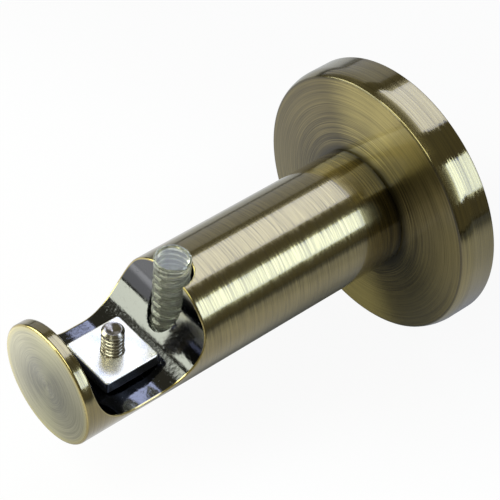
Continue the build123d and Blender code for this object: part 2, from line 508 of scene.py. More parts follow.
    def _corner_painted_shade(self, at: Turning, colour: Source) -> Source:
        """Paints shade into the corner between stem and rose, broken up by the strokes.

        Args:
            at: Turned surface.
            colour: Brushed colour.

        Returns:
            Colour with the patina.
        """
        profile = add(at.tree, "ShaderNodeCombineXYZ", [at.rho, at.y])
        away = add(at.tree, VECTOR, [profile, (STEM_R, SEAT_Y, 0)], operation="DISTANCE")
        crease = add(at.tree, RANGE, [away, *self.crease], interpolation_type="SMOOTHSTEP")
        shade = add(at.tree, RANGE, [away, *self.shade], interpolation_type="SMOOTHSTEP")
        left = add(at.tree, RANGE, [at.grain, *self.left])
        stroked = add(at.tree, MATH, [shade, left], operation="MULTIPLY")
        share = add(at.tree, MATH, [crease, stroked], operation="MAXIMUM")
        return add(at.tree, MIX, {0: share, 6: colour, 7: linear(self.patina_and_painted_shade)}, data_type="RGBA")

    def _fall(self, at: Turning, height: Source, inner: float, outer: float, drop: float) -> Source:
        """Lets a face fall away towards its edge, as buffing leaves it.

        Args:
            at: Turned surface.
            height: Brushed height, in millimetres.
            inner: Distance from the axis where the fall begins.
            outer: Distance from the axis of the edge.
            drop: Fall at the edge.

        Returns:
            Height with the fall, in millimetres.
        """
        share = add(at.tree, RANGE, [at.rho, inner, outer, 0.0, 1.0])
        square = add(at.tree, MATH, [share, 2.0], operation="POWER")
        return add(at.tree, MATH, [square, -drop, height], operation="MULTIPLY_ADD")

    def _work(self, at: Turning, look: Look) -> Look:
        """Adds what one surface alone has. Plain brushing adds nothing."""
        return look


@dataclass(frozen=True)
class StemBrass(AntiqueBrass):
    """Antique brass of the stem: glossy black plating in the saddle, bare yellow brass along its edges."""

    name: str = "antique_brass_stem"
    gloss: Ramp = (0.3, 0.7, 0.26, 0.14)
    anisotropy: float = 0.35
    strokes: Span = (0.34, 0.9)
    worn: Ramp = (0.35, 0.65, 0.2, 0.85)
    leaning_from: float = STEM_R - 0.36
    bare: str = "#D2C07E"
    black: str = "#545559"
    # Bare edge and plating by the distance from the axis, and the lip that the plating begins behind
    bared: Ramp = (STEM_R - 0.02, STEM_R - 0.14, 0.0, 1.0)
    plated: Ramp = (STEM_R - 0.32, STEM_R - 0.48, 0.0, 1.0)
    plated_from: float = END_Y + 2.3
    # Orange peel of the plating: its size, and the roughness and height that it gives
    peel: float = 0.7
    peel_gloss: Ramp = (0.6, 0.7, 0.08, 0.3)
    peel_raised: Ramp = (0.0, 1.0, -0.012, 0.012)

    def _work(self, at: Turning, look: Look) -> Look:
        """Leaves the saddle's black plating below the stem's skin and bare brass along its edges.

        Args:
            at: Turned surface.
            look: Brushed look.

        Returns:
            Look of the whole stem.
        """
        tree = at.tree
        bared = add(tree, RANGE, [at.rho, *self.bared])
        edged = add(tree, MIX, {0: bared, 6: look.colour, 7: linear(self.bare)}, data_type="RGBA")
        below = add(tree, RANGE, [at.rho, *self.plated])
        past_lip = add(tree, MATH, [at.y, self.plated_from], operation="GREATER_THAN")
        inner = add(tree, MATH, [below, past_lip], operation="MULTIPLY")
        peel = add(tree, NOISE, {"Vector": at.coords, "Scale": 1 / (self.peel * MM), "Detail": 4.0})
        dull = add(tree, RANGE, [peel, *self.peel_gloss])
        waves = add(tree, RANGE, [peel, *self.peel_raised])
        return Look(
            add(tree, MIX, {0: inner, 6: edged, 7: linear(self.black)}, data_type="RGBA"),
            add(tree, MIX, {0: inner, 2: look.rough, 3: dull}),
            add(tree, MIX, {0: inner, 2: look.height, 3: waves}),
        )


@dataclass(frozen=True)
class EndBrass(AntiqueBrass):
    """Antique brass of the end face: greyer, rubbed pale towards its edge, which is bare and yellow."""

    name: str = "antique_brass_end"
    gloss: Ramp = (0.3, 0.7, 0.46, 0.36)
    anisotropy: float = 0.7
    dark: str = "#6C6B55"
    bright: str = "#8E8C6D"
    buffed: str = "#D2CDA6"
    edge: str = "#DDD391"
    # Rubbing by the distance from the axis, more of it on the strokes' crests, and the bare edge
    rubbed: Ramp = (STEM_R * 0.35, STEM_R, 0.0, 0.8)
    crests: Ramp = (0.35, 0.65, 0.6, 1.3)
    bared: Ramp = (STEM_R - 1.6, STEM_R - 0.5, 0.0, 0.8)
    drop: float = 0.8

    def _work(self, at: Turning, look: Look) -> Look:
        """Rubs the end face bare towards its edge.

        Args:
            at: Turned surface.
            look: Brushed look.

        Returns:
            Look of the end face.
        """
        tree = at.tree
        outer = add(tree, RANGE, [at.rho, *self.rubbed])
        crests = add(tree, RANGE, [at.grain, *self.crests])
        rubbed = add(tree, MATH, [outer, crests], operation="MULTIPLY", use_clamp=True)
        paler = add(tree, MIX, {0: rubbed, 6: look.colour, 7: linear(self.buffed)}, data_type="RGBA")
        bared = add(tree, RANGE, [at.rho, *self.bared])
        return Look(
            add(tree, MIX, {0: bared, 6: paler, 7: linear(self.edge)}, data_type="RGBA"),
            look.rough,
            self._fall(at, look.height, 0.0, STEM_R, self.drop),
        )


@dataclass(frozen=True)
class RoseBrass(AntiqueBrass):
    """Antique brass of the rose: a soft face, painted shade along the face's edge and a glossy rim."""

    name: str = "antique_brass_rose"
    gloss: Ramp = (0.3, 0.7, 0.43, 0.33)
    anisotropy: float = 1.0
    # Rim by the distance from the axis, and painted shade by the distance from the face's edge
    rim: Ramp = (ROSE_R - 0.9, ROSE_R - 0.8, 0.0, 1.0)
    rim_gloss: Ramp = (0.3, 0.7, 0.2, 0.12)
    edge_rho: float = ROSE_R - 1.05
    edge_painted_shade: Ramp = (0.1, 0.3, 0.6, 0.0)
    drop: float = 0.75

    def _work(self, at: Turning, look: Look) -> Look:
        """Sets off the rim from the face and lets the face fall towards its edge.

        Args:
            at: Turned surface.
            look: Brushed look.

        Returns:
            Look of the rose.
        """
        tree = at.tree
        on_rim = add(tree, RANGE, [at.rho, *self.rim])
        crisp = add(tree, RANGE, [at.grain, *self.rim_gloss])
        # Painted shade in a band along the face's edge, which dims the edge's highlight
        off_edge = add(tree, MATH, [at.rho, self.edge_rho], operation="SUBTRACT")
        aside = add(tree, MATH, [off_edge], operation="ABSOLUTE")
        line = add(tree, RANGE, [aside, *self.edge_painted_shade])
        return Look(
            add(tree, MIX, {0: line, 6: look.colour, 7: linear(self.patina_and_painted_shade)}, data_type="RGBA"),
            add(tree, MIX, {0: on_rim, 2: look.rough, 3: crisp}),
            self._fall(at, look.height, STEM_R, ROSE_R, self.drop),
        )


@dataclass(frozen=True)
class BrightZinc:
    """Steel with bright zinc plate: near-white metal, softly dull, with a faint blue cast in places.

    Sides below a given height can be painted dark, a painted reflection of the black saddle that they
    mirror.
    """

    name: str = "bright_zinc_plate"
    pale: str = "#FFFAE8"
    blue: str = "#E2E4E6"
    # Sides painted dark below this height: a painted reflection of the black saddle
    painted_dark_sides: str = "#3A3B3E"
    painted_dark_below: float = -1000.0
    metallic: float = 1.0
    cloud: float = 5.0
    clouded: Ramp = (0.45, 0.75, 0.0, 1.0)
    grain: float = 0.25
    gloss: Ramp = (0.3, 0.7, 0.24, 0.31)

    def make(self) -> Material:
        """Builds the material.

        Returns:
            The material.
        """
        material = bpy.data.materials.new(self.name)
        tree = empty_tree(material)
        coords = add(tree, "ShaderNodeTexCoord").outputs["Object"]
        cloud = add(tree, NOISE, {"Vector": coords, "Scale": 1 / (self.cloud * MM), "Detail": 2.0})
        share = add(tree, RANGE, [cloud, *self.clouded])
        plated = add(tree, MIX, {0: share, 6: linear(self.pale), 7: linear(self.blue)}, data_type="RGBA")
        # Painted reflection: sides below the given height are coloured dark
        z = add(tree, "ShaderNodeSeparateXYZ", [coords]).outputs["Z"]
        on_painted_side = add(tree, MATH, [z, self.painted_dark_below * MM], operation="LESS_THAN")
        colour = add(tree, MIX, {0: on_painted_side, 6: plated, 7: linear(self.painted_dark_sides)}, data_type="RGBA")
        grain = add(tree, NOISE, {"Vector": coords, "Scale": 1 / (self.grain * MM), "Detail": 2.0})
        rough = add(tree, RANGE, [grain, *self.gloss])
        metal = {"Base Color": colour, "Metallic": self.metallic, "Roughness": rough}
        shader = add(tree, "ShaderNodeBsdfPrincipled", metal)
        add(tree, "ShaderNodeOutputMaterial", {"Surface": shader})
        return material


@dataclass(frozen=True)
class MachinedSteel:
    """Plain machined steel with old oil on it: grey metal with brown patches and a dull shine."""

    name: str = "machined_steel_oiled"
    steel: str = "#A8A396"
    oil: str = "#4E4330"
    film: float = 1.2
    oiled: Ramp = (0.42, 0.7, 0.0, 1.0)
    gloss: Ramp = (0.3, 0.7, 0.16, 0.28)

    def make(self) -> Material:
        """Builds the material.

        Returns:
            The material.
        """
        material = bpy.data.materials.new(self.name)
        tree = empty_tree(material)
        coords = add(tree, "ShaderNodeTexCoord").outputs["Object"]
        film = add(tree, NOISE, {"Vector": coords, "Scale": 1 / (self.film * MM), "Detail": 3.0})
        share = add(tree, RANGE, [film, *self.oiled])
        colour = add(tree, MIX, {0: share, 6: linear(self.steel), 7: linear(self.oil)}, data_type="RGBA")
        rough = add(tree, RANGE, [film, *self.gloss])
        metal = {"Base Color": colour, "Metallic": 1.0, "Roughness": rough}
        shader = add(tree, "ShaderNodeBsdfPrincipled", metal)
        add(tree, "ShaderNodeOutputMaterial", {"Surface": shader})
        return material


@dataclass(frozen=True)
class ClearPlastic:
    """Moulded clear polycarbonate: greenish-grey see-through plastic with bright rims and moulding haze."""

    name: str = "clear_polycarbonate_moulded"
    tint: str = "#F1F4E4"
    haze: float = 1.5
    gloss: Ramp = (0.3, 0.7, 0.05, 0.09)

    def make(self) -> Material:
        """Builds the material.

        Returns:
            The material.
        """
        material = bpy.data.materials.new(self.name)
        tree = empty_tree(material)
        coords = add(tree, "ShaderNodeTexCoord").outputs["Object"]
        haze = add(tree, NOISE, {"Vector": coords, "Scale": 1 / (self.haze * MM), "Detail": 2.0})
        rough = add(tree, RANGE, [haze, *self.gloss])
        clear = {
            "Base Color": linear(self.tint),
            "Roughness": rough,
            "IOR": 1.5,
            "Transmission Weight": 0.935,
        }
        shader = add(tree, "ShaderNodeBsdfPrincipled", clear)
        add(tree, "ShaderNodeOutputMaterial", {"Surface": shader})
        return material


@dataclass(frozen=True)
class WhitePaper:
    """Matt white paper, which the camera sees white with a soft shadow, partly cast and partly painted.

    Brass mirrors it, so what metal sees of it is painted after the studio's light: painted shadows under
    stem and rose, painted shade behind the wall's plane and far out, and a painted pool of light, brighter
    than white, before the end face and to its left. The paper's own colour takes the same painted shade.
    """

    name: str = "matt_white_paper"
    # Paper colour in painted shade, and in the open
    dim: str = "#707070"
    open: str = "#F4F4F4"
    # Share of plain white in what is seen. The rest is lit paper, which takes the shadow.
    lift: float = 0.94
    # Painted light on the floor by the distance from its middle, with painted shade far out
    middle: Place = (-0.1, -0.12, 0.0)
    near: Ramp = (0.3, 0.55, 1.0, 0.0)
    # Painted shade behind a line that leans forward to both sides
    leaning: float = 0.3
    front: Ramp = (-0.03, 0.06, 1.0, 0.42)
    # Painted shadows by the distance from the stem's line and from the rose
    stem_line: Span = (-0.05, 0.03)
    stem_shadow: Ramp = (0.006, 0.034, 0.08, 1.0)
    rose_shadow: Ramp = (0.022, 0.068, 0.3, 1.0)
    # Painted pool of light by the distance from its middle, cut off along the axis, and a painted shadow of
    # the stem's end beside it
    pool_at: Span = (-0.042, -0.111)
    pool: Ramp = (0.004, 0.034, 1.45, 0.68)
    pool_cut: Ramp = (-0.107, -0.098, 1.6, 0.68)
    end_shadow_at: Span = (0.01, -0.118)
    end_shadow: Ramp = (0.012, 0.04, 0.6, 1.0)

    def make(self, floor_z: float) -> Material:
        """Builds the material.

        Args:
            floor_z: Height of the floor.

        Returns:
            The material.
        """
        material = bpy.data.materials.new(self.name)
        tree = empty_tree(material)
        coords = add(tree, "ShaderNodeTexCoord").outputs["Object"]
        at = add(tree, "ShaderNodeSeparateXYZ", [coords]).outputs
        near = self._spot(tree, coords, self.middle, self.near)
        aside = add(tree, MATH, [at["X"]], operation="ABSOLUTE")
        behind = add(tree, MATH, [aside, self.leaning, at["Y"]], operation="MULTIPLY_ADD")
        front = add(tree, RANGE, [behind, *self.front], interpolation_type="SMOOTHSTEP")
        beside = add(tree, "ShaderNodeClamp", [at["Y"], *self.stem_line])
        past = add(tree, MATH, [at["Y"], beside], operation="SUBTRACT")
        off_stem = add(tree, "ShaderNodeCombineXYZ", [at["X"], past])
        under_stem = self._spot(tree, off_stem, (0, 0, 0), self.stem_shadow)
        under_rose = self._spot(tree, coords, (0, 0, floor_z), self.rose_shadow)
        lit = add(tree, MATH, [near, front], operation="MULTIPLY")
        shaded = add(tree, MATH, [under_stem, under_rose], operation="MULTIPLY")
        share = add(tree, MATH, [lit, shaded], operation="MULTIPLY")
        spread = self._spot(tree, coords, (*self.pool_at, floor_z), self.pool)
        cut = add(tree, RANGE, [at["Y"], *self.pool_cut])
        pool = add(tree, MATH, [spread, cut], operation="MINIMUM")
        end_shadow = self._spot(tree, coords, (*self.end_shadow_at, floor_z), self.end_shadow)
        mirrored = add(tree, MATH, [pool, end_shadow], operation="MULTIPLY")

        # Metal sees the painted light and shade. The camera and plastic see it lifted mostly to white.
        ray = add(tree, "ShaderNodeLightPath").outputs
        glossy = add(tree, MATH, [ray["Is Glossy Ray"], share], operation="MULTIPLY")
        direct = add(tree, MATH, [ray["Is Camera Ray"], ray["Is Transmission Ray"]], operation="MAXIMUM")
        seen = add(tree, MATH, [glossy, direct], operation="MAXIMUM")
        lift = add(tree, MATH, [seen, self.lift], operation="MULTIPLY")
        level = add(tree, MIX, {0: direct, 2: mirrored, 3: 1.0})
        colour = add(tree, MIX, {0: share, 6: linear(self.dim), 7: linear(self.open)}, data_type="RGBA")
        paper = add(tree, "ShaderNodeBsdfDiffuse", {"Color": colour})
        glow = add(tree, "ShaderNodeEmission", {"Color": linear(WHITE), "Strength": level})
        shader = add(tree, "ShaderNodeMixShader", [lift, paper, glow])
        add(tree, "ShaderNodeOutputMaterial", {"Surface": shader})
        return material

    def _spot(self, tree: NodeTree, coords: Source, place: Place, ramp: Ramp) -> Source:
        """Shades the floor softly by the distance from a place.

        Args:
            tree: Material's tree.
            coords: Point on the floor.
            place: Middle of the spot.
            ramp: Shade by the distance.

        Returns:
            The shade.
        """
        away = add(tree, VECTOR, [coords, place], operation="DISTANCE")
        return add(tree, RANGE, [away, *ramp], interpolation_type="SMOOTHSTEP")


# Pieces


@dataclass
class Stem:
    """Turned stem with its U-shaped pole saddle and the holes of the two pole screws."""

    radius: float = STEM_R
    end_y: float = END_Y
    seat_y: float = SEAT_Y
    end_edge_r: float = 0.5
    seat_edge_r: float = 0.5
    edge_break: float = 0.4
    saddle_y: float = SADDLE_Y
    saddle_w: float = 28.9
    saddle_corner_r: float = 12.5
    floor_z: float = -4.7
    lock_y: float = LOCK_Y
    mouth_r: float = 4.6
    mouth_z: float = -2.0
    tapped_r: float = 4.05
    tapped_z: float = -11.0
    access_r: float = 3.0
    hole_edge_r: float = 0.2
    # Net: cell size, how far it stays fine past holes and seat, planes on the plain part between
    cell: float = 0.28
    fine_past: float = 1.5
    plain_planes: int = 13
    # Faces this close to the end plane belong to the end face
    end_skin: float = 0.02

    def shape(self, points: np.ndarray) -> np.ndarray:
        """Signed distance to the stem.

        Args:
            points: Points in millimetres, one a row.

        Returns:
            One distance for each point, negative inside.
        """
        x, y, z = points.T
        body = meet(np.hypot(x, z) - self.radius, self.end_y - y, self.end_edge_r)
        body = meet(body, y - self.seat_y, self.seat_edge_r)
        from_middle = np.abs(y - self.saddle_y)
        saddle = meet(from_middle - self.saddle_w / 2, self.floor_z - z, self.saddle_corner_r)
        body = meet(body, -saddle, self.edge_break)
        off_lock = np.hypot(x, y - self.lock_y)
        mouth = np.maximum(off_lock - self.mouth_r, self.mouth_z - z)
        tapped = np.maximum(off_lock - self.tapped_r, self.tapped_z - z)
        body = meet(body, -np.minimum(mouth, tapped), self.hole_edge_r)
        access = np.maximum(np.hypot(x, y - self.saddle_y) - self.access_r, z)
        return meet(body, -access, self.hole_edge_r)

    def build(self) -> Object:
        """Nets the stem: fine round the saddle and the seat, long cells along the plain part.

        Returns:
            The stem as one mesh.
        """
        cross = centred(self.radius, self.cell)
        room = FREE_CELLS * self.cell
        plain_from = self.lock_y + self.mouth_r + self.fine_past
        plain_to = self.seat_y - self.fine_past
        fine = run(self.end_y, plain_from, room, 0.0, self.cell)
        plain = np.linspace(plain_from, plain_to, self.plain_planes)
        seat = run(plain_to, self.seat_y, -self.cell, room, self.cell)
        along = np.concatenate([fine, plain, seat])
        return to_object("stem", *skin(self.shape, cross, along, cross))

    def dress(self, piece: Object) -> None:
        """Gives the stem its antique brass, with the end face as a finish of its own.

        Args:
            piece: The netted stem.
        """
        piece.data.materials.append(StemBrass().make())
        piece.data.materials.append(EndBrass().make())
        for face in piece.data.polygons:
            face.material_index = int(face.center.y < (self.end_y + self.end_skin) * MM)
        settle(piece, Body.BRACKET, Slot.BRASS, "barrel")


@dataclass
class WallRose:
    """Domed wall rose with a crisp face edge, a curved shoulder, a straight rim and a deep recess behind."""

    radius: float = ROSE_R
    seat_y: float = SEAT_Y
    edge_y: float = -9.3
    seat_r: float = 14.4
    bulge: float = 0.15
    shoulder_l: float = 3.6
    shoulder_drop: float = 0.9
    edge_r: float = 0.3
    bore_r: float = 7.1
    recess_r: float = 29.0
    recess_y: float = -7.0
    recess_corner_r: float = 1.0
    rim_screw_y: float = -4.0
    rim_screw_r: float = 2.05
    small_edge_r: float = 0.25
    # Net: cells round the axis, and the runs of planes along the radius and along the axis
    turns: int = 384
    bore_run: Run = (0.5, 0.6, 0.1)
    face_run: Run = (-0.8, -1.2, 0.8)
    wall_run: Run = (1.1, -0.9, 0.2)
    edge_run: Run = (0.8, 0.4, 0.08)
    front_run: Run = (0.4, 0.5, 0.08)
    rim_run: Run = (-0.6, -0.6, 0.3)
    back_run: Run = (0.5, 0.4, 0.08)

    def _dome(self) -> tuple[float, float, float]:
        """Finds the circle through the face's edge, its middle and its seat.

        Returns:
            Distance of the centre from the axis, its place along the axis, and the radius.
        """
        first = np.array([self.radius - self.shoulder_drop, self.edge_y])
        last = np.array([self.seat_r, self.seat_y])
        middle = (first + last) / 2 - np.array([0, self.bulge])
        rows = np.stack([middle - first, last - first])
        right = np.array([(middle @ middle - first @ first) / 2, (last @ last - first @ first) / 2])
        centre = np.linalg.solve(rows, right)
        return float(centre[0]), float(centre[1]), float(np.linalg.norm(first - centre))

    def shape(self, points: np.ndarray) -> np.ndarray:
        """Signed distance to the rose.

        Args:
            points: Points in millimetres, one a row.

        Returns:
            One distance for each point, negative inside.
        """
        x, y, z = points.T
        rho = np.hypot(x, z)
        centre_rho, centre_y, dome_r = self._dome()
        face = np.maximum(np.hypot(rho - centre_rho, y - centre_y) - dome_r, self.seat_y - y)
        shoulder_r = (self.shoulder_l**2 + self.shoulder_drop**2) / (2 * self.shoulder_drop)
        before = np.minimum(y - self.edge_y - self.shoulder_l, 0)
        side = np.hypot(np.maximum(rho - self.radius + shoulder_r, 0), before) - shoulder_r
        body = meet(side, face, self.edge_r)
        body = meet(body, self.bore_r - rho, self.small_edge_r)
        body = meet(body, y, self.small_edge_r)
        recess = meet(rho - self.recess_r, self.recess_y - y, self.recess_corner_r)
        body = meet(body, -recess, self.small_edge_r)
        hole = np.maximum(np.hypot(x, y - self.rim_screw_y) - self.rim_screw_r, z)
        return meet(body, -hole, self.small_edge_r / 2)

    def build(self) -> Object:
        """Nets the rose on a round grid: fine at the face's edge and the back edge, wider between.

        Returns:
            The rose as one mesh.
        """
        edge_rho = self.radius - self.shoulder_drop
        wall_y = 0.0
        angles = np.linspace(0, 2 * math.pi, self.turns + 1)
        radii = [
            run(self.bore_r, self.bore_r, *self.bore_run),
            run(self.bore_r, self.recess_r, *self.face_run),
            run(self.recess_r, edge_rho, *self.wall_run),
            run(edge_rho, self.radius, *self.edge_run),
        ]
        along = [
            run(self.seat_y, self.edge_y, *self.front_run),
            run(self.edge_y, wall_y, *self.rim_run),
            run(wall_y, wall_y, *self.back_run),
        ]
        net = skin(self.shape, angles, np.concatenate(radii), np.concatenate(along), round_grid)
        return to_object("wall_rose_shell", *net)

    def dress(self, piece: Object) -> None:
        """Gives the rose its antique brass."""
        piece.data.materials.append(RoseBrass().make())
        settle(piece, Body.BRACKET, Slot.BRASS, "wall_rose")


@dataclass
class NutPlate:
    """Square zinc-plated plate that carries the clamp screw."""

    centre_y: float = SADDLE_Y
    width: float = PLATE_HIGH[0] - PLATE_LOW[0]
    bottom_z: float = PLATE_LOW[2]
    top_z: float = PLATE_HIGH[2]
    corner_r: float = 0.8
    top_edge_r: float = 0.3
    bottom_edge_r: float = 0.05
    bore_r: float = 2.55
    bore_edge_r: float = 0.12
    cell: float = 0.17
    zinc_gloss: Ramp = (0.3, 0.7, 0.25, 0.32)
    zinc_metallic: float = 0.78

    def shape(self, points: np.ndarray) -> np.ndarray:
        """Signed distance to the plate.

        Args:
            points: Points in millimetres, one a row.

        Returns:
            One distance for each point, negative inside.
        """
        x, y, z = points.T
        half = self.width / 2
        plan = meet(np.abs(x) - half, np.abs(y - self.centre_y) - half, self.corner_r)
        body = meet(plan, z - self.top_z, self.top_edge_r)
        body = meet(body, self.bottom_z - z, self.bottom_edge_r)
        return meet(body, self.bore_r - np.hypot(x, y - self.centre_y), self.bore_edge_r)

    def build(self) -> Object:
        """Nets the plate.

        Returns:
            The plate as one mesh.
        """
        cross = centred(self.width / 2, self.cell)
        room = FREE_CELLS * self.cell
        height = run(self.bottom_z, self.top_z, room, room, self.cell)
        return to_object("clamp_plate", *skin(self.shape, cross, cross + self.centre_y, height))

    def dress(self, piece: Object) -> None:
        """Gives the plate its zinc, with its sides painted dark as a painted reflection of the black saddle.

        Args:
            piece: The netted plate.
        """
        zinc = BrightZinc(
            "zinc_plate_painted_dark_sides",
            painted_dark_below=self.top_z - self.top_edge_r,
            metallic=self.zinc_metallic,
            gloss=self.zinc_gloss,
        )
        piece.data.materials.append(zinc.make())
        settle(piece, Body.BRACKET, Slot.ZINC, "nut_plate")


@dataclass
class RolledThread:
    """Geometry nodes that press a helical groove into the side of an upright blank."""

    sizes: tuple[str, ...] = ("Pitch", "Depth", "Radius", "Axis Y", "Bottom", "Top")
    # Groove across half a turn of the thread, from crest to root
    flank: Ramp = (0.06, 0.44, 0.0, 1.0)
    # Share of the radius beyond which a point lies on the blank's side
    side_from: float = 0.995

    def make(self) -> NodeTree:
        """Builds the tree.

        Returns:
            The tree, with its sizes as named inputs in metres.
        """
        tree = bpy.data.node_groups.new("rolled_thread", "GeometryNodeTree")
        tree.interface.new_socket("Geometry", in_out="INPUT", socket_type="NodeSocketGeometry")
        for name in self.sizes:
            tree.interface.new_socket(name, in_out="INPUT", socket_type="NodeSocketFloat")
        tree.interface.new_socket("Material", in_out="INPUT", socket_type="NodeSocketMaterial")
        tree.interface.new_socket("Geometry", in_out="OUTPUT", socket_type="NodeSocketGeometry")
        given = add(tree, "NodeGroupInput").outputs

        at = add(tree, "GeometryNodeInputPosition")
        axis = add(tree, "ShaderNodeCombineXYZ", {"Y": given["Axis Y"]})
        off = add(tree, VECTOR, [at, axis], operation="SUBTRACT")
        level = add(tree, VECTOR, [off, (1, 1, 0)], operation="MULTIPLY")
        rho = add(tree, VECTOR, [level], operation="LENGTH")
        out = add(tree, VECTOR, [level], operation="NORMALIZE")
        split = add(tree, "ShaderNodeSeparateXYZ", [off]).outputs
        angle = add(tree, MATH, [split["Y"], split["X"]], operation="ARCTAN2")
        turn = add(tree, MATH, [angle, 2 * math.pi], operation="DIVIDE")
        rise = add(tree, MATH, [split["Z"], given["Pitch"]], operation="DIVIDE")
        wound = add(tree, MATH, [rise, turn], operation="SUBTRACT")
        ridge = add(tree, MATH, [wound, 0.5], operation="PINGPONG")
        groove = add(tree, RANGE, [ridge, *self.flank], interpolation_type="SMOOTHSTEP")
        above = add(tree, MATH, [split["Z"], given["Bottom"]], operation="SUBTRACT")
        below = add(tree, MATH, [given["Top"], split["Z"]], operation="SUBTRACT")
        room = add(tree, MATH, [above, below], operation="MINIMUM")
        runout = add(tree, MATH, [room, given["Pitch"]], operation="DIVIDE", use_clamp=True)
        side_r = add(tree, MATH, [given["Radius"], self.side_from], operation="MULTIPLY")
        side = add(tree, MATH, [rho, side_r], operation="GREATER_THAN")
        pressed = add(tree, MATH, [groove, runout], operation="MULTIPLY")
        only_side = add(tree, MATH, [pressed, side], operation="MULTIPLY")
        inward = add(tree, MATH, [only_side, given["Depth"]], operation="MULTIPLY")
        shift = add(tree, VECTOR, {0: out, "Scale": inward}, operation="SCALE")
        moved = add(tree, VECTOR, [at, shift], operation="SUBTRACT")
        rolled = add(tree, "GeometryNodeSetPosition", {"Geometry": given["Geometry"], "Position": moved})
        real = add(tree, "GeometryNodeRealizeInstances", [rolled])
        done = add(tree, "GeometryNodeSetMaterial", {"Geometry": real, "Material": given["Material"]})
        add(tree, "NodeGroupOutput", [done])
        return tree


@dataclass
class Screw:
    """Upright screw: a turned blank whose side gets a rolled thread.

    Foot and head list the radius and height of the blank's rings below and above its side. A ring without
    a radius follows the six-sided key socket.
    """

    name: str
    y: float
    radius: float
    foot: list[tuple[float | None, float]]
    head: list[tuple[float | None, float]]
    side: Span
    thread: Span
    pitch: float
    depth: float
    key: float = 0.0
    segments: int = 96
    rings_a_pitch: int = 14
    sharp_deg: float = 38.0

    def _rings(self) -> list[tuple[float | None, float]]:
        """Lists the blank's rings upwards, close enough on its side to take the thread.

        Returns:
            Radius and height of each ring.
        """
        low, high = self.side
        count = math.ceil((high - low) / self.pitch * self.rings_a_pitch)
        side = [(self.radius, low + (high - low) * i / count) for i in range(count + 1)]
        return [*self.foot, *side, *self.head]

    def blank(self) -> tuple[np.ndarray, list[list[int]]]:
        """Turns the blank from its rings.

        Returns:
            Points and faces.
        """
        turn = np.arange(self.segments) * 2 * math.pi / self.segments
        sixth = math.pi / 3
        key = self.key / 2 / np.cos((turn + sixth / 2) % sixth - sixth / 2)
        rings = self._rings()
        points, faces = [], []
        for radius, height in rings:
            reach = key if radius is None else np.full(self.segments, radius)
            level = np.full(self.segments, height)
            points.append(np.stack([reach * np.cos(turn), self.y + reach * np.sin(turn), level], axis=1))
        for row in range(len(rings) - 1):
            low, high = row * self.segments, (row + 1) * self.segments
            for at in range(self.segments):
                to = (at + 1) % self.segments
                faces.append([low + at, low + to, high + to, high + at])
        last = (len(rings) - 1) * self.segments
        faces.append(list(range(self.segments))[::-1])
        faces.append([last + at for at in range(self.segments)])
        return np.concatenate(points), faces

    def build(self, thread: NodeTree, material: Material) -> Object:
        """Rolls the thread into the blank and makes it a plain mesh.

        Args:
            thread: Geometry nodes of the rolled thread.
            material: Finish that the tree sets.

        Returns:
            The finished screw.
        """
        piece = to_object(self.name, *self.blank())
        modifier = piece.modifiers.new("thread", "NODES")
        modifier.node_group = thread
        values = {
            "Pitch": self.pitch * MM,
            "Depth": self.depth * MM,
            "Radius": self.radius * MM,
            "Axis Y": self.y * MM,
            "Bottom": self.thread[0] * MM,
            "Top": self.thread[1] * MM,
            "Material": material,
        }
        for item in thread.interface.items_tree:
            if item.name in values:
                modifier[item.identifier] = values[item.name]
        piece.update_tag()
        ready = piece.evaluated_get(bpy.context.evaluated_depsgraph_get())
        mesh = bpy.data.meshes.new_from_object(ready)
        piece.modifiers.remove(modifier)
        piece.data = mesh
        mesh.name = self.name
        mesh.shade_smooth()
        mesh.set_sharp_from_angle(angle=math.radians(self.sharp_deg))
        return piece


